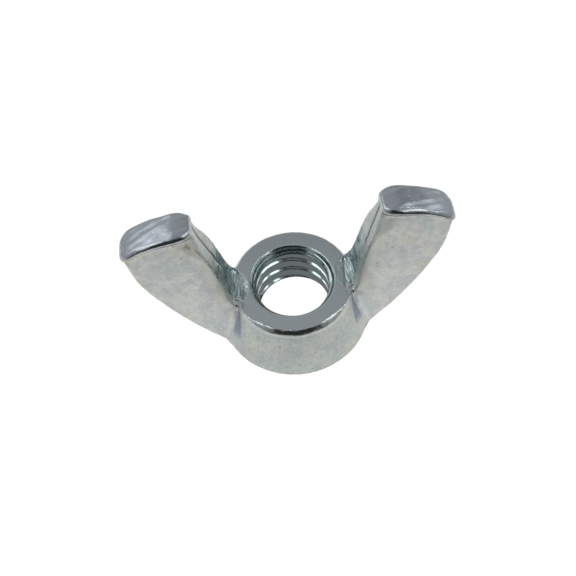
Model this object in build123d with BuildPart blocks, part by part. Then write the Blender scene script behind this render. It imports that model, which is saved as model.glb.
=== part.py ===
"""Forged wing nut, 1/4-20 UNC, light series: one solid steel forging with a tapped hole.

Millimetres, +Z up. Origin where the thread axis meets the flat bearing face.
+X runs along the wing span, the wings stand up from the hub.
"""

import os
from math import cos, radians, sin, sqrt, tan

from build123d import *

# ---- driving dimensions -------------------------------------------------
MAJOR_RADIUS = 3.175  # 1/4 in screw
PITCH = 1.27  # 20 threads per inch
CREST_RADIUS = 2.9  # tapped minor radius, the wall a screw rides in
ROOT_FLAT = PITCH / 8
THREAD_START_Z = -0.7  # the tap runs out past both faces
THREAD_TURNS = 4.8
THREAD_START_ANGLE = 49.0
FLANK_ANGLE = 30.0  # 60 degree thread form
UPPER_MOUTH_RADIUS = 3.35  # steep lead-in at the ring
UPPER_MOUTH_ANGLE = 25.0
LOWER_MOUTH_RADIUS = 3.4  # 45 degree lead-in at the bearing face
LOWER_MOUTH_ANGLE = 45.0
CORE_RADIUS = 4.0  # the threaded middle of the hub is cut on its own

BASE_RADIUS = 6.05  # bearing face
HUB_HEIGHT = 4.6  # bearing face to the faced ring on top
RING_RADIUS = 4.57  # outer edge of the faced ring
SHOULDER_RADIUS = 4.84  # where the broken ring edge meets the flared side
SHOULDER_DROP = 0.28

ROOT_HALF = 2.5  # half thickness of a wing at the bearing face
TIP_HALF = 1.07  # half thickness the taper reaches past the highest point
TAPER_TILT = 22.0  # degrees the thinning direction leans outward from +Z
TAPER_LENGTH = 16.5
EDGE_ROUND = 0.34  # along the wing edges

HOLLOW_RADIUS = 6.0  # shallow unfaced crescent where the ring meets a wing
HOLLOW_CENTRE = 5.48
HOLLOW_RIM = 2.03
HOLLOW_END = 4.3
POCKET_RADIUS = 0.48  # short groove in the valley at the foot of a wing
POCKET_X = 4.62
POCKET_Z = 4.86
POCKET_HALF = 1.1  # centre to centre of the rounded ends, halved

# side view of the wing on the +X side, (x, z) from the bearing face out and up
WING_EDGE = (
    (5.6, 0.0),
    (7.4, 2.1),
    (9.05, 4.4),
    (10.4, 6.9),
    (11.42, 9.6),
    (11.98, 11.15),
    (11.35, 12.05),
    (9.7, 12.65),
    (7.95, 13.12),
    (7.03, 13.05),
    (6.62, 12.4),
    (5.75, 9.1),
    (5.1, 6.1),
    (4.85, 5.2),
    (4.35, 4.65),
    (3.9, 4.2),
)
WING_INSIDE = 3.6  # how far the wing root reaches into the hub

# ---- derived ------------------------------------------------------------
THREAD_DEPTH = MAJOR_RADIUS - CREST_RADIUS
OVERLAP = 0.2  # the thread tool stands this far inside the drilled hole
across_wing = Vector(cos(radians(TAPER_TILT)), 0, -sin(radians(TAPER_TILT)))
groove_half = ROOT_FLAT / 2 + (THREAD_DEPTH + OVERLAP) * tan(radians(FLANK_ANGLE))
hollow_height = HUB_HEIGHT + sqrt(HOLLOW_RADIUS**2 - HOLLOW_RIM**2)
upper_lead = (UPPER_MOUTH_RADIUS - CREST_RADIUS) / tan(radians(UPPER_MOUTH_ANGLE))
lower_lead = (LOWER_MOUTH_RADIUS - CREST_RADIUS) / tan(radians(LOWER_MOUTH_ANGLE))

# ---- one wing, standing on the +X side ----------------------------------
with BuildPart() as wing:
    with BuildSketch(Plane.XZ) as side_view:
        with BuildLine():
            Spline(*WING_EDGE)
            Line(WING_EDGE[-1], (WING_INSIDE, WING_EDGE[-1][1]))
            Line((WING_INSIDE, WING_EDGE[-1][1]), (WING_INSIDE, 0))
            Line((WING_INSIDE, 0), WING_EDGE[0])
        make_face()
    extrude(amount=ROOT_HALF + 0.6, both=True)
    # thin the wing from root to tip
    with BuildSketch(Plane(origin=(0, 0, 0), x_dir=(0, 1, 0), z_dir=across_wing)) as thickness:
        with BuildLine():
            Polyline(
                (-ROOT_HALF, -5),
                (ROOT_HALF, -5),
                (ROOT_HALF, 0),
                (TIP_HALF, TAPER_LENGTH),
                (-TIP_HALF, TAPER_LENGTH),
                (-ROOT_HALF, 0),
                close=True,
            )
        make_face()
    extrude(amount=20, both=True, mode=Mode.INTERSECT)
    # round the long edges left by the dies
    long_edges = wing.edges().filter_by(lambda edge: edge.length > 20)
    fillet(long_edges, radius=EDGE_ROUND)

# ---- what the dies and the facing cut left open at the foot of a wing ----
with BuildPart() as foot_tool:
    with Locations((HOLLOW_CENTRE, 0, hollow_height)):
        Sphere(HOLLOW_RADIUS)
    with Locations((HOLLOW_END - 1, 0, HUB_HEIGHT)):
        Box(2, 2 * HOLLOW_RIM, 1, mode=Mode.INTERSECT)
    with Locations(Location((POCKET_X, 0, POCKET_Z), (90, 0, 0))):
        Cylinder(POCKET_RADIUS, 2 * POCKET_HALF)
    with Locations((POCKET_X, POCKET_HALF, POCKET_Z), (POCKET_X, -POCKET_HALF, POCKET_Z)):
        Sphere(POCKET_RADIUS)

# ---- the tap, a helical ridge that will cut the thread ------------------
with BuildPart() as tap:
    with BuildLine() as tap_path:
        Helix(PITCH, THREAD_TURNS * PITCH, CREST_RADIUS, center=(0, 0, THREAD_START_Z))
    with BuildSketch(Plane(origin=tap_path.line @ 0, x_dir=(1, 0, 0), z_dir=(0, 1, 0))) as tooth:
        with BuildLine():
            Polyline(
                (-OVERLAP, -groove_half),
                (THREAD_DEPTH, -ROOT_FLAT / 2),
                (THREAD_DEPTH, ROOT_FLAT / 2),
                (-OVERLAP, groove_half),
                close=True,
            )
        make_face()
    sweep(is_frenet=True)

# ---- threaded core of the hub --------------------------------------------
with BuildPart() as core:
    Cylinder(CORE_RADIUS, HUB_HEIGHT, align=(Align.CENTER, Align.CENTER, Align.MIN))
    # thread form first, then the hole that leaves only its crests
    add(tap.part, rotation=(0, 0, THREAD_START_ANGLE), mode=Mode.SUBTRACT)
    Cylinder(CREST_RADIUS, HUB_HEIGHT, align=(Align.CENTER, Align.CENTER, Align.MIN), mode=Mode.SUBTRACT)
    # lead-in at each end
    with BuildSketch(Plane.XZ) as lead_ins:
        with BuildLine():
            Polyline(
                (0, 0),
                (LOWER_MOUTH_RADIUS, 0),
                (CREST_RADIUS, lower_lead),
                (CREST_RADIUS, HUB_HEIGHT - upper_lead),
                (UPPER_MOUTH_RADIUS, HUB_HEIGHT),
                (0, HUB_HEIGHT),
                close=True,
            )
        make_face()
    revolve(axis=Axis.Z, mode=Mode.SUBTRACT)

# ---- the nut ------------------------------------------------------------
with BuildPart() as wing_nut_body:
    # flared hub with its faced ring
    with BuildSketch(Plane.XZ) as hub_section:
        with BuildLine():
            Polyline(
                (0, 0),
                (BASE_RADIUS, 0),
                (SHOULDER_RADIUS, HUB_HEIGHT - SHOULDER_DROP),
                (RING_RADIUS, HUB_HEIGHT),
                (0, HUB_HEIGHT),
                close=True,
            )
        make_face()
    revolve(axis=Axis.Z)
    # the two wings
    add(wing.part)
    add(mirror(wing.part, about=Plane.YZ, mode=Mode.PRIVATE))
    # open the middle and fill it with the threaded core
    Cylinder(CORE_RADIUS, HUB_HEIGHT, align=(Align.CENTER, Align.CENTER, Align.MIN), mode=Mode.SUBTRACT)
    add(core.part)
    # unfaced crescents and the grooves behind them
    add(foot_tool.part, mode=Mode.SUBTRACT)
    add(mirror(foot_tool.part, about=Plane.YZ, mode=Mode.PRIVATE), mode=Mode.SUBTRACT)

wing_nut_body.part.label = "wing_nut_body"

os.makedirs("parts", exist_ok=True)
export_step(wing_nut_body.part, "parts/wing_nut_body.step")
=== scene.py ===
import math

import bpy
import numpy as np
from mathutils import Matrix, Vector


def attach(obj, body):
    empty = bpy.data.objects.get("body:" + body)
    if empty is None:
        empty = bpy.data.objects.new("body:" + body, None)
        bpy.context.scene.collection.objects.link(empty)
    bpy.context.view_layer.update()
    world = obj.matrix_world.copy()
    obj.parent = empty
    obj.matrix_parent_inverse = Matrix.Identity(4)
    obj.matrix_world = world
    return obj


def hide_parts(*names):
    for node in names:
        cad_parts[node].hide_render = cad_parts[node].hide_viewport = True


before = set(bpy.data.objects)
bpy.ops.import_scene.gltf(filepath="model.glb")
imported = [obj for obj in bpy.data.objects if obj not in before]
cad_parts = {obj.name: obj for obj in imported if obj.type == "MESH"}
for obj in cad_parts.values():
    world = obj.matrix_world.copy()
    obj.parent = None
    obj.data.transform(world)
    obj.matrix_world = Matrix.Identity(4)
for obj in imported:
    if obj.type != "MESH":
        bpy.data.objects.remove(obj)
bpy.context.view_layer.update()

scene = bpy.context.scene
MM = 0.001  # the model is worked out in millimetres and stored in metres

# -------------------------------------------------------- sizes, in millimetres
# +Z is up from the bearing face, X runs along the wing span, and the front, where the camera
# stands, is -Y. Sizes follow the CAD part where it has them, but the bearing face and the wing
# ends are a little fuller and the hole's lead-ins differ slightly.
BASE_R = 6.08  # bearing face
HUB_H = 4.6  # bearing face to the faced ring
FORGED_H = 4.66  # bearing face to the top before facing
SHOULDER_R, SHOULDER_Z = 4.84, 4.32  # a point on the flared side, near its top
FACING_R = 4.9  # reach of the facing cut
FOOT_ROUND = 0.03  # edge of the bearing face

CREST_R, ROOT_R, PITCH = 2.9, 3.175, 1.27
GROOVE_HALF = 0.238  # half the thread groove's width, at the crest
FLANK_SLOPE = 1.732  # 60 degree thread form
GROOVE_Z0, GROOVE_ANGLE = -0.7, 49.0  # where the groove starts, in mm and degrees
THREAD_SCALE = 0.7  # brings the thread's steep field nearer to a distance
MOUTH_TOP_R, MOUTH_LEAN = 3.35, math.radians(34.0)  # lead-in at the ring
MOUTH_LIMIT_R = 3.9  # the lead-in's cone ends here, short of the wings
MOUTH_LOW_R, DIAGONAL = 3.45, 0.707  # 45 degree lead-in at the bearing face
MARK_DEPTH, MARK_FEED = 0.013, 0.27  # turning marks in the upper lead-in

# the two edges of the +X wing seen from the front, (x, z)
WING_OUTER = (
    (5.6, 0.0), (7.4, 2.1), (9.05, 4.4), (10.45, 6.9),
    (11.44, 9.3), (12.0, 11.1), (12.28, 12.4), (12.4, 14.5),
)
WING_INNER = (
    (7.0, 14.5), (6.68, 13.0), (6.5, 12.0), (5.75, 9.1),
    (5.1, 6.1), (4.86, 5.2), (4.58, 4.62), (4.25, 4.2),
)
WING_HIDDEN = ((3.6, 4.2), (3.6, -3.0), (5.6, -3.0))  # inside the hub and below the bearing face
ROOT_HALF = 2.5  # half thickness of a wing, carried down to the origin
TAPER, TAPER_TILT = 0.0867, math.radians(22.0)  # its loss per mm, in a direction leaning outward
TUCKED_HALF = 1.05  # half thickness that the front face draws in to at the inner edge
END_CREST_X, END_CREST_Z = 7.6, 13.17  # a wing's end is highest near here
END_DROOP_X = 10.4  # the end droops faster beyond this
STRIP_DEPTH = 0.14  # of the sheared strip low on a wing's inner edge
PARTING_HEIGHT, PARTING_FADE = 0.09, 0.09  # ridge on the die parting line

CRESCENT_R, CRESCENT_X, CRESCENT_Z = 6.0, 5.48, 10.246  # ball that leaves the unfaced crescent
CRESCENT_END = 4.27  # outer limit of the crescent
POCKET_X, POCKET_Z = 4.2, 4.4  # hub side and floor of the pocket at a wing's foot
POCKET_Y, POCKET_REACH = 0.3, 1.4  # its middle and half length along Y
RIB_PITCH, RIB_DEPTH = 0.25, 0.018  # ribs left by shearing

# burr pushed up at a pocket's front end and the crease beyond it, on the +X side
BURR_PATH = ((4.90, -1.08, 4.78), (4.46, -1.20, 4.58), (4.10, -1.50, 4.53))
BURR_RADII = (0.06, 0.06)
CREASE_PATH = (
    (5.02, -1.16, 5.12), (4.80, -1.22, 4.84), (4.44, -1.32, 4.66), (4.07, -1.60, 4.60), (4.08, -2.02, 4.56),
)
CREASE_RADII = (0.03, 0.04, 0.04, 0.03)

# waviness, in layers: (amount, stretch of x y z, size, count, seed)
EVEN = (1, 1, 1)
HUB_WAVES = ((0.016, EVEN, 3.2, 7, 11), (0.003, EVEN, 0.8, 9, 12))
SHOULDER_WAVES = ((0.02, EVEN, 0.9, 7, 13),)
EDGE_WAVES = ((0.016, (1, 0.5, 1), 2.2, 7, 21), (0.008, EVEN, 0.7, 9, 22))
FACE_WAVES = ((0.022, EVEN, 4.2, 7, 23), (0.005, EVEN, 0.9, 9, 24))
END_WAVES = ((0.028, (1, 1.8, 1), 1.4, 7, 27), (0.004, (0.3, 1, 1), 0.4, 9, 26))


# ------------------------------------------------------------ curves and blends
def spline(points, count):
    """A smooth curve through the points, natural cubic by chord length."""
    p = np.array(points, float)
    t = np.r_[0, np.cumsum(np.hypot(*np.diff(p, axis=0).T))]
    h = np.diff(t)
    n = len(p)
    system, bend = np.eye(n), np.zeros((n, 2))
    for i in range(1, n - 1):
        system[i, i - 1 : i + 2] = h[i - 1], 2 * (h[i - 1] + h[i]), h[i]
        bend[i] = 6 * ((p[i + 1] - p[i]) / h[i] - (p[i] - p[i - 1]) / h[i - 1])
    m = np.linalg.solve(system, bend)
    u = np.linspace(0, t[-1], count)
    k = np.clip(np.searchsorted(t, u, side="right") - 1, 0, n - 2)
    d0, d1 = (t[k + 1] - u)[:, None], (u - t[k])[:, None]
    hk = h[k][:, None]
    return (
        m[k] * d0**3 / (6 * hk) + m[k + 1] * d1**3 / (6 * hk)
        + (p[k] / hk - m[k] * hk / 6) * d0 + (p[k + 1] / hk - m[k + 1] * hk / 6) * d1
    )


def outline_distance(outline, gx, gz):
    """Signed distance on a grid to a closed outline, negative inside."""
    nearest = np.full(gx.shape, 1e9)
    inside = np.zeros(gx.shape, bool)
    for (ax, az), (bx, bz) in zip(outline, np.roll(outline, -1, axis=0)):
        ex, ez = bx - ax, bz - az
        wx, wz = gx - ax, gz - az
        t = np.clip((wx * ex + wz * ez) / (ex * ex + ez * ez + 1e-12), 0, 1)
        nearest = np.minimum(nearest, (wx - t * ex) ** 2 + (wz - t * ez) ** 2)
        if abs(ez) > 1e-12:
            crosses = (az > gz) != (bz > gz)
            inside ^= crosses & (gx < ax + (gz - az) * ex / ez)
    return np.where(inside, -1, 1) * np.sqrt(nearest)


def cubic_weights(t):
    """Weights of four neighbours for cubic interpolation at t between the middle two."""
    return (
        ((-0.5 * t + 1) * t - 0.5) * t,
        (1.5 * t - 2.5) * t * t + 1,
        ((-1.5 * t + 2) * t + 0.5) * t,
        (0.5 * t - 0.5) * t * t,
    )


def round_max(a, b, r):
    """Intersection with the edge rounded to radius r."""
    return np.minimum(np.maximum(a, b), -r) + np.sqrt(np.maximum(a + r, 0) ** 2 + np.maximum(b + r, 0) ** 2)


def round_min(a, b, r):
    """Union with a fillet of radius r."""
    return np.maximum(np.minimum(a, b), r) - np.sqrt(np.maximum(r - a, 0) ** 2 + np.maximum(r - b, 0) ** 2)


def step(x, lo, hi):
    """0 below lo, 1 above hi and smooth between."""
    t = np.clip((x - lo) / (hi - lo), 0, 1)
    return t * t * (3 - 2 * t)


def bump(x, centre, width):
    """1 at the centre, fading out over the width."""
    return np.exp(-(((x - centre) / width) ** 2))


def capsule(p, a, b, r):
    """Distance to a round bar from a to b; p is the three coordinate arrays."""
    d = [b[k] - a[k] for k in range(3)]
    t = sum((p[k] - a[k]) * d[k] for k in range(3)) / sum(v * v for v in d)
    t = np.clip(t, 0, 1)
    return np.sqrt(sum((p[k] - a[k] - t * d[k]) ** 2 for k in range(3))) - r


def capsules(p, path, radii):
    """Distance to each of the round bars that join up a path."""
    return [capsule(p, a, b, r) for a, b, r in zip(path, path[1:], radii)]


def waves(x, y, z, size, count, seed):
    """Smooth random undulation, about -1 to 1, with features of the given size in mm."""
    rng = np.random.default_rng(seed)
    total = 0
    for _ in range(count):
        d = rng.normal(size=3)
        d *= 2 * math.pi / (size * rng.uniform(0.7, 1.4)) / np.linalg.norm(d)
        total = total + np.sin(d[0] * x + d[1] * y + d[2] * z + rng.uniform(0, 6.28))
    return total / math.sqrt(count / 2) / 1.6


def wavy(distance, x, y, z, layers):
    """The distance with layers of waviness added."""
    for amount, (sx, sy, sz), size, count, seed in layers:
        distance = distance + amount * waves(sx * x, sy * y, sz * z, size, count, seed)
    return distance


# -------------------------------------------------------------------- the hub
def hub(x, y, z, fine):
    """The flared hub with its die-rounded shoulder, before facing and drilling."""
    r = np.hypot(x, y)
    slope = math.atan2(BASE_R - SHOULDER_R, SHOULDER_Z)
    side = (r - BASE_R) * math.cos(slope) + z * math.sin(slope)
    # the shoulder is rounder at the front, and nearly sharp where it runs into a wing there
    near_wing = step(np.abs(x), 2.7, 4.1) * (y < 0)
    shoulder = (0.38 + 0.12 * step(-y, -1.0, 2.0)) * (1 - 0.72 * near_wing)
    if fine:
        side = wavy(side, x, y, z, HUB_WAVES)
        shoulder = wavy(shoulder, x, y, z, SHOULDER_WAVES)
    return round_max(side, z - FORGED_H, shoulder)


def thread(x, y, z):
    """Positive inside the tapped hole: how far a point is inside the thread wall."""
    r = np.hypot(x, y)
    turn = (np.degrees(np.arctan2(y, x)) - GROOVE_ANGLE) / 360
    along = (z - GROOVE_Z0) / PITCH - turn
    from_groove = np.abs(along - np.round(along)) * PITCH
    depth = np.clip((GROOVE_HALF - from_groove) * FLANK_SLOPE, 0, ROOT_R - CREST_R)
    return CREST_R + depth - r


def hole(x, y, z, fine):
    """Positive inside the tapped hole or one of its two lead-ins."""
    r = np.hypot(x, y)
    top = (MOUTH_TOP_R - r) * math.cos(MOUTH_LEAN) + (z - HUB_H) * math.sin(MOUTH_LEAN)
    top = np.minimum(top, MOUTH_LIMIT_R - r)
    if fine:
        top = top + MARK_DEPTH * np.sin(2 * math.pi * z / MARK_FEED + np.arctan2(y, x))
    low = (MOUTH_LOW_R - r) * DIAGONAL - z * DIAGONAL
    return np.maximum(np.maximum(thread(x, y, z) * THREAD_SCALE, top), low)


# ------------------------------------------------------------------ the wings
TABLE_STEP, TABLE_X0, TABLE_Z0 = 0.1, 2.0, -1.5
TABLE_NX, TABLE_NZ = 122, 172


def wing_profile():
    """A table of distances to the wing's outline seen from the front, slightly smoothed."""
    outline = np.vstack([spline(WING_OUTER, 220), spline(WING_INNER, 220), WING_HIDDEN])
    table_x = TABLE_X0 + TABLE_STEP * np.arange(TABLE_NX)
    table_z = TABLE_Z0 + TABLE_STEP * np.arange(TABLE_NZ)
    table = outline_distance(outline, *np.meshgrid(table_x, table_z, indexing="ij"))
    for _ in range(2):
        beside = table[:-2, 1:-1] + table[2:, 1:-1] + table[1:-1, :-2] + table[1:-1, 2:]
        table[1:-1, 1:-1] = (4 * table[1:-1, 1:-1] + beside) / 8
    return table


profile = wing_profile()


def profile_at(x, z):
    """Distance to the wing's two edges seen from the front, from the table by cubic interpolation."""
    fx = np.clip((x - TABLE_X0) / TABLE_STEP, 1, TABLE_NX - 3)
    fz = np.clip((z - TABLE_Z0) / TABLE_STEP, 1, TABLE_NZ - 3)
    ix, iz = fx.astype(int), fz.astype(int)
    wx, wz = cubic_weights(fx - ix), cubic_weights(fz - iz)
    total = 0
    for i in range(4):
        row = 0
        for j in range(4):
            row = row + wz[j] * profile[ix + i - 1, iz + j - 1]
        total = total + wx[i] * row
    return total


def end_height(ax, z):
    """Height above the crowned end face of a wing."""
    crown = 0.16 * ((ax - END_CREST_X) ** 2 + 0.2) ** 0.75
    droop = 0.15 * np.maximum(ax - END_DROOP_X, 0) ** 2
    return 0.955 * (z - END_CREST_Z + crown + droop)


def along_wing(ax, z):
    """How far a point is to the inner side, and how near to the top, as weights."""
    middle = 4.9 + 0.3 * z
    inner = step(middle - ax, -1.0, 0.8)
    top = step(end_height(ax, z), -3.2, -0.5)
    return inner, top


def parting_y(x, z):
    """Where the die parting line runs on the inner edge of each wing."""
    left = 0.28 + 0.72 * step(9.8 - z, 0, 4.5)
    right = 0.12 - 0.50 * step(12.0 - z, 0, 6.5)
    return np.where(x < 0, left, right)


def from_parting(x, y, z):
    """Signed distance along Y from the parting line, which wanders a little."""
    return y - parting_y(x, z) - 0.015 * waves(x, y, z, 1.1, 5, 25)


def ledge_y(x, z):
    """Front edge of the sheared strip low on the inner edge of each wing."""
    return np.where(x < 0, -1.02 + 0.05 * np.sin(2.3 * z), parting_y(x, z) + 0.05 * np.sin(3.1 * z + 1))


def wing(x, y, z, fine):
    """Both wings, mirrored across the YZ plane but for small differences on the inner edges."""
    ax, ay = np.abs(x), np.abs(y)
    inner, top = along_wing(ax, z)
    half = ROOT_HALF - TAPER * (ax * math.sin(TAPER_TILT) + z * math.cos(TAPER_TILT))
    edge = profile_at(ax, z) + 0.02 * ay
    face = ay - half
    end = end_height(ax, z)
    # the left wing's inner edge is fuller towards the back
    edge = edge - 0.09 * inner * (x < 0) * step(y, 0.2, 1.4)
    # sheared strip
    low = (1 - step(z, 7.2, 9.6)) * inner * step(ax, 4.3, 4.7)
    behind = step(y - ledge_y(x, z), -0.05, 0.05) * (1 - 0.8 * step(y, 1.0, 1.6))
    edge = edge + STRIP_DEPTH * low * behind
    # the front face draws in towards the inner edge
    tuck = np.clip(1 + edge / 1.4, 0, 1) ** 2 * inner * (1 - top) * (0.3 + 0.7 * step(z, 5.0, 7.5))
    face = face + np.where(y < 0, tuck * np.maximum(half - TUCKED_HALF, 0), 0)
    # the end is slightly mushroomed, with its inner corners cut back, and crowned across
    lip = step(end, -0.68, -0.3)
    edge = edge - (0.12 + 0.06 * inner * (x < 0)) * lip + 0.35 * top * inner * (ay / half) ** 4
    face = face - 0.09 * lip
    end = end + 0.05 * y * y
    if fine:
        edge = wavy(edge, x, y, z, EDGE_WAVES)
        end = wavy(end, x, y, z, END_WAVES)
        face = wavy(face, x, y, z, FACE_WAVES)
        mask = inner * (1 - step(z, 12.1, 12.7)) * step(z, 5.0, 5.8)
        edge = edge + mask * PARTING_HEIGHT * np.exp(-np.abs(from_parting(x, y, z)) / PARTING_FADE)
    # rounding radii: along the front edges, along the back edges and round the end
    front = 0.16 * (1 - top) + top
    rear = 0.45 - 0.28 * inner + top * (0.5 + 0.03 * inner)
    around_end = 0.28 + 0.3 * step(ax, 11.0, 12.2)
    return round_max(round_max(edge, face, np.where(y < 0, front, rear)), end, around_end)


# ------------------------------------------------------------------- the nut
def fillet_marks(h, w, z, solid):
    """Marks drawn down the root fillets, from the distances to hub and wing."""
    in_fillet = bump(h - w, 0, 0.5) * step(-solid, -0.3, 0.0) * step(z, 0.3, 1.2) * (1 - step(z, 3.3, 4.0))
    return (0.006 + 0.008 * (h > w)) * in_fillet * np.sin(2 * math.pi * (h - w) / 0.33)


def cut_crescents(solid, x, y, z, fine):
    """Cut the unfaced crescents where the ring meets a wing."""
    ax = np.abs(x)
    bowl = np.sqrt((ax - CRESCENT_X) ** 2 + y**2 + (z - CRESCENT_Z) ** 2) - CRESCENT_R
    if fine:
        bowl = bowl + (0.004 + 0.016 * (x > 0)) * waves(3 * x, y, z, 1.1, 7, 31)
    return round_max(solid, -round_max(bowl, ax - CRESCENT_END, 0.06), 0.05)


def cut_pockets(solid, x, y, z, fine):
    """Run the sheared wall down to a narrow floor with a blind front end."""
    ax = np.abs(x)
    wall = profile_at(ax, z) + STRIP_DEPTH * (1 - step(z, 5.3, 6.4))
    pocket = round_max(round_max(-wall, POCKET_Z - z, 0.34), POCKET_X - ax, 0.05)
    pocket = round_max(pocket, np.abs(y - POCKET_Y) - POCKET_REACH, 0.45)
    if fine:
        wander = 1.2 * waves(x, y, z, 1.2, 5, 33)
        ribs = np.sin(2 * math.pi * (ax + 0.4 * z + 0.22 * y) / RIB_PITCH + wander)
        near = (1 - step(z, 6.0, 7.2)) * step(ax, 4.3, 4.5) * (1 - step(ax, 5.3, 5.6)) * step(y, -1.2, -0.8)
        solid = solid + RIB_DEPTH / 2 * near * ribs * step(z, 4.7, 4.9)
        pocket = pocket + RIB_DEPTH * ribs
    return round_max(solid, -pocket, 0.06)


def add_burrs(solid, x, y, z):
    """Push up the burr at the front end of each pocket and cut the crease beyond it."""
    p = (np.abs(x), y, z)
    solid = round_min(solid, np.min(capsules(p, BURR_PATH, BURR_RADII), axis=0), 0.1)
    for crease in capsules(p, CREASE_PATH, CREASE_RADII):
        solid = round_max(solid, -crease, 0.03)
    return solid


def nut(x, y, z, fine=True):
    """The whole nut: negative inside, positive outside, near its surface close to the distance."""
    h, w = hub(x, y, z, fine), wing(x, y, z, fine)
    root_fillet = 0.52 - 0.42 * step(z, 3.0, 4.3)
    solid = round_min(h, w, root_fillet)
    if fine:
        solid = solid + fillet_marks(h, w, z, solid)
    solid = cut_crescents(solid, x, y, z, fine)
    solid = cut_pockets(solid, x, y, z, fine)
    facing = round_max(HUB_H - z, np.hypot(x, y) - FACING_R, 0.02)
    solid = round_max(solid, -facing, 0.03)
    solid = add_burrs(solid, x, y, z)
    hole_round = 0.04 + 0.04 * step(z, 4.2, 4.5)
    solid = round_max(solid, hole(x, y, z, fine), hole_round)
    return round_max(solid, -z, FOOT_ROUND)


# ------------------------------------------------------------- field to mesh
FINE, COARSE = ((0.055, 0.085))  # grid spacing
CORNERS = [(i, j, k) for i in (0, 1) for j in (0, 1) for k in (0, 1)]  # of a grid cell
SLAB, BLOCK = 16, 60000  # grid layers and points worked out at a time
SLOPE_STEP = 0.012  # for differences of the field
MOVE_LIMIT = 0.06  # for one step of a vertex


def axis_steps(parts):
    """Grid lines from (start, end, step) pieces."""
    lines = [np.array([parts[0][0]])]
    for lo, hi, d in parts:
        lines.append(np.linspace(lo, hi, max(2, int(round((hi - lo) / d)) + 1))[1:])
    return np.concatenate(lines)


def mirrored(half, shift):
    """Grid lines on both sides of zero, shifted so that none lies on a plane of symmetry."""
    return np.concatenate([-half[:0:-1], half]) + shift


# fine round the hub and the wings' feet, coarse beyond
grid_x = mirrored(axis_steps([(0, 7.2, FINE), (7.2, 12.4, COARSE)]), 0.0031)
grid_y = mirrored(axis_steps([(0, 3.6, FINE), (3.6, 6.3, COARSE)]), 0.0017)
grid_z = axis_steps([(-0.2, 5.2, FINE), (5.2, 13.5, COARSE)])


def field_on_grid():
    """The nut without its finest detail, worked out at every grid point."""
    field = np.empty((len(grid_x), len(grid_y), len(grid_z)), np.float32)
    for i in range(0, len(grid_x), SLAB):
        x, y, z = np.meshgrid(grid_x[i : i + SLAB], grid_y, grid_z, indexing="ij")
        field[i : i + SLAB] = nut(x, y, z, fine=False)
    return field


def corner_values(field, cell, corner):
    """The field at one corner of each cell."""
    return field[tuple((cell + corner).T)].astype(float)


def corner_places(cell, corner):
    """Where one corner of each cell is."""
    i, j, k = (cell + corner).T
    return np.c_[grid_x[i], grid_y[j], grid_z[k]]


def vertices_in(field, cell):
    """A vertex in each cell, at the mean of the points where the surface cuts its edges."""
    total, weight = np.zeros((len(cell), 3)), np.zeros(len(cell))
    for start in CORNERS:
        for axis in range(3):
            if start[axis]:
                continue
            end = tuple(start[m] + (m == axis) for m in range(3))
            a, b = corner_values(field, cell, start), corner_values(field, cell, end)
            cut = (a < 0) != (b < 0)
            t = np.where(cut, a / np.where(cut, a - b, 1), 0)[:, None]
            place = corner_places(cell, start) * (1 - t) + corner_places(cell, end) * t
            total += np.where(cut[:, None], place, 0)
            weight += cut
    return total / weight[:, None]


def quads_round(inside, index):
    """A quad round each grid edge that the surface cuts, wound to face outward."""
    quads = []
    for axis in range(3):
        lo = [slice(1, -1)] * 3
        lo[axis] = slice(0, -1)
        hi = list(lo)
        hi[axis] = slice(1, None)
        start, end = inside[tuple(lo)], inside[tuple(hi)]
        edge = np.argwhere(start != end)
        base = edge + np.array([0 if m == axis else 1 for m in range(3)])
        keep = start[tuple(edge.T)]
        if axis == 1:  # the other two axes wind the other way round Y
            keep = ~keep
        u, v = [m for m in range(3) if m != axis]
        corners = []
        for du, dv in ((-1, -1), (0, -1), (0, 0), (-1, 0)):
            cell = base.copy()
            cell[:, u] += du
            cell[:, v] += dv
            corners.append(index[tuple(cell.T)])
        quad = np.stack(corners, 1)
        quad[~keep] = quad[~keep][:, ::-1]
        quads.append(quad)
    return np.vstack(quads)


def surface_nets(field):
    """Vertices and quads of the zero surface, one vertex in each crossed cell."""
    inside = field < 0
    cells = [size - 1 for size in field.shape]
    count = np.zeros(cells, np.int8)
    for i, j, k in CORNERS:
        count += inside[i : i + cells[0], j : j + cells[1], k : k + cells[2]]
    active = (count > 0) & (count < 8)
    cell = np.argwhere(active)
    index = np.full(cells, -1, np.int32)
    index[active] = np.arange(len(cell))
    return vertices_in(field, cell), quads_round(inside, index)


def nut_at(points):
    """The nut's field at the points, worked out a block at a time."""
    values = np.empty(len(points))
    for i in range(0, len(points), BLOCK):
        x, y, z = points[i : i + BLOCK].T
        values[i : i + BLOCK] = nut(x, y, z)
    return values


def slope_at(points):
    """The gradient of the nut's field at the points, by central differences."""
    slope = np.empty_like(points)
    for k in range(3):
        d = np.zeros(3)
        d[k] = SLOPE_STEP
        slope[:, k] = (nut_at(points + d) - nut_at(points - d)) / (2 * SLOPE_STEP)
    return slope


def pull_onto_surface(points):
    """Two Newton steps that bring the points onto the surface with its finest detail."""
    for _ in range(2):
        slope = slope_at(points)
        steepness = np.maximum((slope * slope).sum(1), 0.15)
        move = -nut_at(points)[:, None] * slope / steepness[:, None]
        points += np.clip(move, -MOVE_LIMIT, MOVE_LIMIT)
    return points


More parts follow.
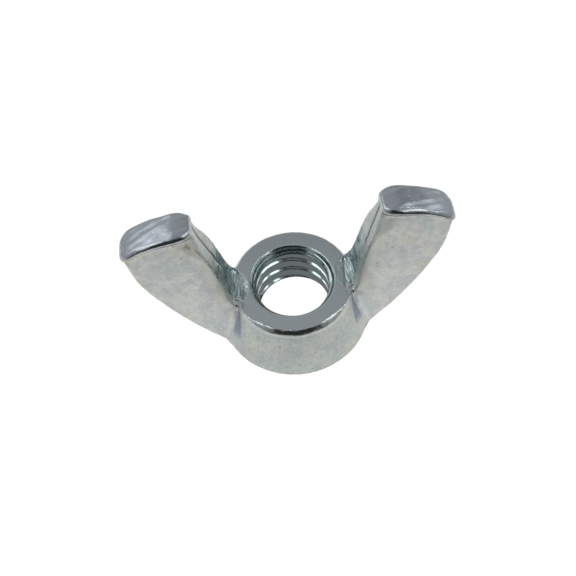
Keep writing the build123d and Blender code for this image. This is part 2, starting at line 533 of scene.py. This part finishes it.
def mesh_from(name, vertices, quads):
    """A smooth-shaded Blender mesh in metres, from vertices in millimetres."""
    mesh = bpy.data.meshes.new(name)
    mesh.vertices.add(len(vertices))
    mesh.vertices.foreach_set("co", (vertices * MM).astype(np.float32).ravel())
    mesh.loops.add(quads.size)
    mesh.loops.foreach_set("vertex_index", quads.astype(np.int32).ravel())
    mesh.polygons.add(len(quads))
    mesh.polygons.foreach_set("loop_start", np.arange(0, quads.size, 4, dtype=np.int32))
    mesh.polygons.foreach_set("use_smooth", np.ones(len(quads), bool))
    mesh.update()
    mesh.validate()
    return mesh


vertices, quads = surface_nets(field_on_grid())
vertices = pull_onto_surface(vertices)
mesh = mesh_from("wing_nut", vertices, quads)
body = bpy.data.objects.new("wing_nut", mesh)
scene.collection.objects.link(body)
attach(body, "root")
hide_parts("wing_nut_body")

# -------------------------------------------------------------- surface zones
# Weights from 0 to 1 at each vertex, stored four to a colour attribute for the material.
NEAR = 0.02  # how near to the ring's plane counts as on it
ZONES = {
    "zone_a": ("ring", "cap", "valley", "crescent"),
    "zone_b": ("painted_shade_streak", "painted_highlight", "dirt_and_shade", "brown"),
    "zone_c": ("hole", "shoulder", "rim", "pale"),
}


def facing_inward(x, normal):
    """1 where the surface looks towards the hole."""
    return step(-normal[:, 0] * np.sign(x), 0.35, 0.7)


def worked_zones(x, y, z, normal):
    """What was faced, drilled, struck or sheared."""
    ax, r = np.abs(x), np.hypot(x, y)
    inward = facing_inward(x, normal)
    upward = normal[:, 2]
    strip = (1 - step(z, 7.0, 9.4)) * step(y - ledge_y(x, z), -0.06, 0.06)
    # the pocket and the sheared strip; the colour laid on them is painted shade, in streaks along the ribs
    valley = np.maximum(inward * strip, (z < 4.9) * (ax < 5.2))
    return {
        "ring": (np.abs(z - HUB_H) < NEAR) & (r < 4.75),
        "hole": (r < MOUTH_TOP_R + 0.1) & (z < HUB_H + NEAR),
        "shoulder": step(z, 3.95, 4.15) * (r < 5.0) * (z < 4.7),
        "cap": step(end_height(ax, z) - 0.25 * inward, -0.5, -0.3) * step(upward, 0.0, 0.3),
        "valley": valley * step(ax, 4.27, 4.33) * step(z, 4.3, 4.35) * step(y, -1.15, -1.0),
        "crescent": (z < HUB_H - NEAR) * (z > 4.1) * (r > 3.5) * (ax < 4.3) * step(upward, 0.7, 0.9),
    }


def root_zones(x, y, z):
    """Painted shade: blue-grey streaks that widen down the front roots; and a painted highlight: the bright
    line beside each.
    """
    h, w = hub(x, y, z, False), wing(x, y, z, False)
    front = step(-y, 0.0, 0.5)
    width = 0.26 + 0.22 * np.clip(4.4 - z, 0, 3)
    # painted shade in the concave root fillet
    painted_shade_streak = step(w, 0.10, 0.20) * (1 - step(w, width, width + 0.12)) * step(-np.abs(h), -0.25, -0.1)
    painted_shade_streak = painted_shade_streak * step(z, 1.2, 2.4) * (1 - step(z, 4.2, 4.4))
    # painted highlight: a bright line along the wing side of each root fillet
    painted_highlight = bump(h, 0.40, 0.16) * step(-np.abs(w), -0.2, -0.08)
    painted_highlight = painted_highlight * step(z, 0.4, 1.4) * (1 - step(z, 3.9, 4.4))
    return {"painted_shade_streak": front * painted_shade_streak, "painted_highlight": front * painted_highlight}


def stain_and_painted_light_zones(x, y, z, normal):
    """Dirt and painted shade in the lines and cracks, brownish edges, and pale edges that are partly
    painted highlight.
    """
    ax, r = np.abs(x), np.hypot(x, y)
    inner, _ = along_wing(ax, z)
    outline = profile_at(ax, z)
    below_end = end_height(ax, z)
    # dirt and painted shade in the parting line, in the creases and under the lip of the ends
    line = bump(from_parting(x, y, z), 0, 0.12)
    dirt_and_shade = inner * facing_inward(x, normal) * line * step(z, 5.2, 6.0) * (1 - step(z, 12.2, 12.8))
    crease = np.min(capsules((ax, y, z), CREASE_PATH, [0] * len(CREASE_RADII)), axis=0)
    dirt_and_shade = np.maximum(dirt_and_shade, 0.8 * bump(crease, 0, 0.05))
    under = bump(below_end, -0.44 + 0.04 * waves(x, y, z, 0.8, 5, 43), 0.07) * step(-y, 0.4, 0.8)
    dirt_and_shade = np.maximum(dirt_and_shade, under * (0.4 + 0.6 * inner) * (ax < 12.0))
    # worn edges: round the bearing face and up the wings' outer edges
    rim = bump(z, 0.0, 0.12) * (r > 5.0)
    outer = step(outline, -0.12, -0.03) * (1 - inner) * step(-y, 0.6, 1.0) * step(z, 0.5, 1.5)
    # brown at the outer end and along the front inner edge, which is stronger on the left
    corner = bump(y, -1.15, 0.35) * np.exp(-((ax - 11.7) ** 2 + (z - 10.9) ** 2) / 0.35**2)
    along = inner * bump(y, -1.05 + 0.05 * np.sin(3 * z), 0.07)
    along = along * step(z, 5.2, 6.0) * (1 - step(z, 12.0, 12.6))
    broken = (0.35 + 0.65 * (x < 0)) * step(waves(x, y, z, 0.5, 7, 41), -0.6, 0.5)
    # a pale band beside that edge: a painted highlight standing in for the floor's reflection, with a faint
    # yellowish tint
    pale = inner * step(-y, 0.95, 1.15) * step(outline, -1.0, -0.4) * step(z, 4.4, 4.8)
    return {
        "dirt_and_shade": dirt_and_shade,
        "brown": np.maximum(corner, along * broken),
        "rim": np.maximum(rim, outer),
        "pale": pale * (1 - step(below_end, -1.2, -0.7)),
    }


normals = slope_at(vertices)
normals /= np.linalg.norm(normals, axis=1)[:, None]
x, y, z = vertices.T
zone_weights = worked_zones(x, y, z, normals) | root_zones(x, y, z) | stain_and_painted_light_zones(x, y, z, normals)
for layer_name, names in ZONES.items():
    layer = mesh.attributes.new(layer_name, "FLOAT_COLOR", "POINT")
    values = np.stack([zone_weights[name] for name in names], 1)
    layer.data.foreach_set("color", values.astype(np.float32).ravel())


# ------------------------------------------------------------------ materials
class Graph:
    """Short forms for wiring a node tree."""

    def __init__(self, tree):
        self.tree = tree

    def node(self, kind, **settings):
        made = self.tree.nodes.new(kind)
        for key, value in settings.items():
            setattr(made, key, value)
        return made

    def put(self, socket, value):
        """Link a socket, or set it to a value; three numbers for a colour are made opaque."""
        if isinstance(value, bpy.types.NodeSocket):
            self.tree.links.new(value, socket)
        elif socket.type == "RGBA":
            socket.default_value = (*value, 1)
        else:
            socket.default_value = value

    def math(self, operation, first, *others):
        """One operation, repeated along the operands from the left where there are several."""
        for other in others or (0.0,):
            made = self.node("ShaderNodeMath", operation=operation)
            self.put(made.inputs[0], first)
            self.put(made.inputs[1], other)
            first = made.outputs[0]
        return first

    def length(self, x, y):
        return self.math("SQRT", self.math("ADD", self.math("POWER", x, 2.0), self.math("POWER", y, 2.0)))

    def smooth(self, value, lo, hi, out_lo=0.0, out_hi=1.0):
        made = self.node("ShaderNodeMapRange", interpolation_type="SMOOTHSTEP")
        for socket, number in zip(made.inputs, (value, lo, hi, out_lo, out_hi)):
            self.put(socket, number)
        return made.outputs[0]

    def mix(self, factor, a, b, blend="MIX"):
        made = self.node("ShaderNodeMix", data_type="RGBA", blend_type=blend)
        self.put(made.inputs[0], factor)
        self.put(made.inputs[6], a)
        self.put(made.inputs[7], b)
        return made.outputs[2]

    def parts(self, vector):
        """The three parts of a vector."""
        made = self.node("ShaderNodeSeparateXYZ")
        self.put(made.inputs[0], vector)
        return made.outputs[:3]

    def scaled(self, vector, factors):
        made = self.node("ShaderNodeVectorMath", operation="MULTIPLY")
        self.put(made.inputs[0], vector)
        self.put(made.inputs[1], factors)
        return made.outputs[0]

    def noise(self, vector, scale, detail=2.0, rough=0.5):
        made = self.node("ShaderNodeTexNoise")
        for name, value in (("Vector", vector), ("Scale", scale), ("Detail", detail), ("Roughness", rough)):
            self.put(made.inputs[name], value)
        return made.outputs["Fac"]


def read_zones(g):
    """The zone weights as sockets, by name."""
    sockets = {}
    for layer_name, names in ZONES.items():
        layer = g.node("ShaderNodeAttribute", attribute_name=layer_name)
        split = g.node("ShaderNodeSeparateColor")
        g.put(split.inputs[0], layer.outputs["Color"])
        sockets.update(zip(names, (*split.outputs[:3], layer.outputs["Alpha"])))
    return sockets


def plated_colour(g, at):
    """Satin zinc in faint grey, warm and greenish patches, with grain and a few brown specks."""
    patches = g.smooth(g.noise(at, 0.55, 3.0, 0.6), 0.38, 0.62)
    colour = g.mix(patches, (0.575, 0.60, 0.605), (0.665, 0.67, 0.64))
    yellow = g.smooth(g.noise(g.scaled(at, (1.1, 1.1, 0.9)), 0.8, 2.0), 0.58, 0.72)
    colour = g.mix(g.math("MULTIPLY", yellow, 0.5), colour, (0.66, 0.63, 0.53))
    teal = g.smooth(g.noise(g.scaled(at, (1.3, 1.3, 0.7)), 0.9, 2.0), 0.56, 0.68)
    colour = g.mix(g.math("MULTIPLY", teal, 0.6), colour, (0.57, 0.645, 0.625))
    grain = g.smooth(g.noise(at, 3.4, 3.0, 0.7), 0.25, 0.75, 0.89, 1.08)
    grey = g.node("ShaderNodeCombineColor")
    for socket in grey.inputs:
        g.put(socket, grain)
    colour = g.mix(1.0, colour, grey.outputs[0], "MULTIPLY")
    speck = g.smooth(g.noise(at, 2.3, 1.0, 0.5), 0.75, 0.775)
    colour = g.mix(g.math("MULTIPLY", speck, 0.75), colour, (0.34, 0.25, 0.13))
    # the wings are a little lighter than the hub
    lift = g.smooth(g.math("ABSOLUTE", g.parts(at)[0]), 4.5, 7.0)
    return g.mix(1.0, colour, g.mix(lift, (1.03, 1.065, 1.04), (1.16, 1.17, 1.16)), "MULTIPLY")


def zinc_colour(g, at, zone):
    """The plated colour with each zone's colour laid over it in turn; some zones carry painted shade and
    painted highlights.
    """
    # painted shade: the faced ring is painted darker towards the back
    to_back = g.smooth(g.parts(at)[1], -1.0, 4.5)
    ring = g.mix(to_back, (0.56, 0.605, 0.62), (0.48, 0.52, 0.535))
    # painted shade in the pocket: dark teal, in streaks along the ribs
    ribbed = g.smooth(g.noise(g.scaled(at, (3.6, 0.7, 1.8)), 1.0, 3.0, 0.6), 0.4, 0.62)
    ribs = g.mix(ribbed, (0.19, 0.28, 0.30), (0.52, 0.60, 0.58))
    colour = plated_colour(g, at)
    for name, strength, over in (
        # pale band: a painted highlight with a faint yellowish tint
        ("pale", 0.5, (0.88, 0.87, 0.79)),
        ("cap", 1.0, (0.51, 0.545, 0.575)),
        ("ring", 1.0, ring),
        ("hole", 1.0, (0.55, 0.635, 0.63)),
        ("crescent", 1.0, (0.66, 0.70, 0.70)),
        # painted shade in the pocket and the sheared strip
        ("valley", 0.92, ribs),
        # painted shade down the front root fillets
        ("painted_shade_streak", 0.88, (0.28, 0.335, 0.41)),
        # painted highlight beside each root streak
        ("painted_highlight", 0.6, (0.86, 0.88, 0.90)),
        ("brown", 0.7, (0.40, 0.31, 0.15)),
        ("rim", 0.35, (0.50, 0.45, 0.30)),
        # dirt and painted shade in the lines, the creases and under the lip of the ends
        ("dirt_and_shade", 0.85, (0.07, 0.075, 0.07)),
    ):
        colour = g.mix(g.math("MULTIPLY", zone[name], strength), colour, over)
    return colour


def zinc_roughness(g, at, zone):
    """Satin, polished where it was faced or struck and glossy in the hole."""
    polish = g.math("MAXIMUM", zone["cap"], zone["ring"], zone["shoulder"])
    sheared = g.math("MULTIPLY", g.math("MAXIMUM", zone["valley"], zone["crescent"]), 0.85)
    rough = g.smooth(g.math("MAXIMUM", polish, sheared), 0.0, 1.0, 0.46, 0.16)
    rough = g.math("ADD", rough, g.smooth(g.noise(at, 1.6, 3.0), 0.3, 0.7, -0.03, 0.05))
    return g.smooth(zone["hole"], 0.0, 1.0, rough, 0.07)


def zinc_relief(g, at, zone):
    """Fine relief in mm: orange peel, brushed ends, turned ring and torn shoulder."""
    x, y, _ = g.parts(at)
    peel = g.math("MULTIPLY", g.noise(at, 3.2, 2.0, 0.5), 0.006, g.math("SUBTRACT", 1.0, zone["hole"]))
    brushed = g.noise(g.scaled(at, (1.0, 4.0, 3.0)), 2.6, 3.0, 0.65)
    turned = g.node("ShaderNodeCombineXYZ")
    g.put(turned.inputs[0], g.length(x, y))
    marks = g.noise(turned.outputs[0], 16.0, 2.0, 0.7)
    coined = g.math("MULTIPLY", zone["shoulder"], g.math("SUBTRACT", 1.0, zone["ring"]))
    torn = g.noise(g.scaled(at, (1.0, 1.0, 4.5)), 1.5, 3.0, 0.65)
    return g.math(
        "ADD",
        peel,
        g.math("MULTIPLY", brushed, zone["cap"], 0.02),
        g.math("MULTIPLY", marks, zone["ring"], 0.0012),
        g.math("MULTIPLY", torn, coined, 0.03),
    )


def zinc_plate():
    """The one material: zinc plating that changes from zone to zone."""
    material = bpy.data.materials.new("zinc_plate")
    material.use_nodes = True
    g = Graph(material.node_tree)
    zone = read_zones(g)
    at = g.scaled(g.node("ShaderNodeTexCoord").outputs["Object"], (1 / MM, 1 / MM, 1 / MM))
    relief = g.node("ShaderNodeBump")
    g.put(relief.inputs["Strength"], 1.0)
    g.put(relief.inputs["Distance"], MM)
    g.put(relief.inputs["Height"], zinc_relief(g, at, zone))
    shader = material.node_tree.nodes["Principled BSDF"]
    g.put(shader.inputs["Base Color"], zinc_colour(g, at, zone))
    g.put(shader.inputs["Metallic"], 1.0)
    g.put(shader.inputs["Roughness"], zinc_roughness(g, at, zone))
    g.put(shader.inputs["Normal"], relief.outputs[0])
    return material


mesh.materials.append(zinc_plate())

# ---------------------------------------------------------------------- stage
# A pale floor under a soft grey sky: dark in front where the camera stands, a shade at the back
# right, soft boxes high and low on each side and one at the back left. Rays from the camera
# itself see plain white.
FLOOR_HALF = 2.0  # metres
FLOOR_DROP = 0.00002  # metres; keeps the floor clear of the bearing face
FLOOR_LIGHT, FLOOR_WHITE = 0.74, 1.05  # how bright the nut and the camera see it


def paper():
    """Glowing paper standing in for lit paper, with painted shade: darker to the front, away from the nut,
    and under its hole as the nut's painted shadow.
    """
    material = bpy.data.materials.new("paper")
    material.use_nodes = True
    material.node_tree.nodes.clear()
    g = Graph(material.node_tree)
    x, y, _ = g.parts(g.node("ShaderNodeNewGeometry").outputs["Position"])
    reach = g.length(x, y)
    # painted shade: the glow falls off to the front and to the sides
    ahead = g.math("MULTIPLY", g.smooth(y, -0.045, -0.009, 1.0, 0.0), 0.62)
    aside = g.math("MULTIPLY", g.smooth(reach, 0.016, 0.08), 0.35)
    lit = g.math("SUBTRACT", FLOOR_LIGHT, g.math("MAXIMUM", ahead, aside))
    # painted shadow of the nut on the paper under its hole
    lit = g.math("MULTIPLY", lit, g.smooth(reach, 0.0032, 0.0055, 0.3, 1.0))
    camera_sees = g.node("ShaderNodeLightPath").outputs["Is Camera Ray"]
    glow = g.node("ShaderNodeEmission")
    g.put(glow.inputs["Strength"], g.math("MAXIMUM", lit, g.math("MULTIPLY", camera_sees, FLOOR_WHITE)))
    g.put(g.node("ShaderNodeOutputMaterial").inputs["Surface"], glow.outputs[0])
    return material


def add_floor():
    floor_mesh = bpy.data.meshes.new("floor")
    corners = [(FLOOR_HALF * i, FLOOR_HALF * j, 0) for i, j in ((-1, -1), (1, -1), (1, 1), (-1, 1))]
    floor_mesh.from_pydata(corners, [], [(0, 1, 2, 3)])
    floor_mesh.materials.append(paper())
    floor = bpy.data.objects.new("floor", floor_mesh)
    floor.location.z = -FLOOR_DROP
    scene.collection.objects.link(floor)


# windows of the sky: (strength, limits round from the front, limits up from the floor, softness),
# the last three in degrees; a box adds light and a shade takes it away
SOFT_BOXES = (
    (1.0, (-112.0, -58.0), (41.0, 60.0), 3.0),
    (1.0, (52.0, 114.0), (43.0, 64.0), 3.0),
    (0.45, (-126.0, -96.0), (20.0, 37.0), 4.0),
    (0.45, (96.0, 126.0), (20.0, 37.0), 4.0),
    (0.5, (-150.0, -112.0), (34.0, 48.0), 3.0),
)
SHADES = (
    (0.92, (-44.0, 40.0), (-30.0, 64.0), 7.0),
    (0.3, (112.0, 165.0), (20.0, 62.0), 8.0),
)
BOX_LIGHT = 1.5


def between(g, value, limits, soft):
    """1 between the limits, with soft ends."""
    lo, hi = limits
    rise = g.smooth(value, lo - soft, lo + soft)
    fall = g.smooth(value, hi - soft, hi + soft, 1.0, 0.0)
    return g.math("MULTIPLY", rise, fall)


def window(g, turn, height, strength, turns, heights, soft):
    """The strength inside one window of the sky, 0 outside."""
    inside = g.math("MULTIPLY", between(g, turn, turns, soft), between(g, height, heights, soft))
    return g.math("MULTIPLY", inside, strength)


def add_sky():
    world = bpy.data.worlds.new("studio")
    scene.world = world
    world.use_nodes = True
    g = Graph(world.node_tree)
    x, y, z = g.parts(g.node("ShaderNodeTexCoord").outputs["Generated"])
    height = g.math("DEGREES", g.math("ARCSINE", z))
    turn = g.math("DEGREES", g.math("ARCTAN2", x, g.math("MULTIPLY", y, -1.0)))
    around = g.smooth(g.math("ABSOLUTE", turn), 40.0, 150.0, 0.75, 1.0)
    light = g.math("MULTIPLY", g.smooth(height, 0.0, 60.0, 0.52, 0.42), around)
    for shade in SHADES:
        light = g.math("MULTIPLY", light, g.math("SUBTRACT", 1.0, window(g, turn, height, *shade)))
    boxes = g.math("MAXIMUM", *[window(g, turn, height, *box) for box in SOFT_BOXES])
    light = g.math("ADD", light, g.math("MULTIPLY", boxes, BOX_LIGHT))
    camera_sees = g.node("ShaderNodeLightPath").outputs["Is Camera Ray"]
    background = world.node_tree.nodes["Background"]
    g.put(background.inputs["Strength"], g.math("MAXIMUM", light, camera_sees))
    g.put(background.inputs["Color"], g.mix(camera_sees, (0.95, 0.99, 1.03), (1, 1, 1)))


add_floor()
add_sky()

# --------------------------------------------------------------------- camera
ELEVATION, AZIMUTH, ROLL = math.radians(59.03), math.radians(-1.89), math.radians(-5.71)
DISTANCE = 10 * BASE_R * MM
LENS, SENSOR = 45.17, 36.0
SHIFT_X, SHIFT_Y = -0.01267, 0.03733


def add_camera():
    """A camera looking at the origin, rolled about its own axis, with the picture shifted."""
    back = Vector((
        math.sin(AZIMUTH) * math.cos(ELEVATION),
        -math.cos(AZIMUTH) * math.cos(ELEVATION),
        math.sin(ELEVATION),
    ))
    level = Vector((math.cos(AZIMUTH), math.sin(AZIMUTH), 0))
    upward = back.cross(level)
    right = math.cos(ROLL) * level + math.sin(ROLL) * upward
    up = -math.sin(ROLL) * level + math.cos(ROLL) * upward
    data = bpy.data.cameras.new("camera")
    data.lens = LENS
    data.sensor_width = SENSOR
    data.shift_x = SHIFT_X
    data.shift_y = SHIFT_Y
    data.clip_start = 0.001
    data.clip_end = 10.0
    camera = bpy.data.objects.new("camera", data)
    rows = [(right[i], up[i], back[i], back[i] * DISTANCE) for i in range(3)]
    camera.matrix_world = Matrix((*rows, (0, 0, 0, 1)))
    scene.collection.objects.link(camera)
    scene.camera = camera


add_camera()
scene.view_settings.view_transform = "Standard"
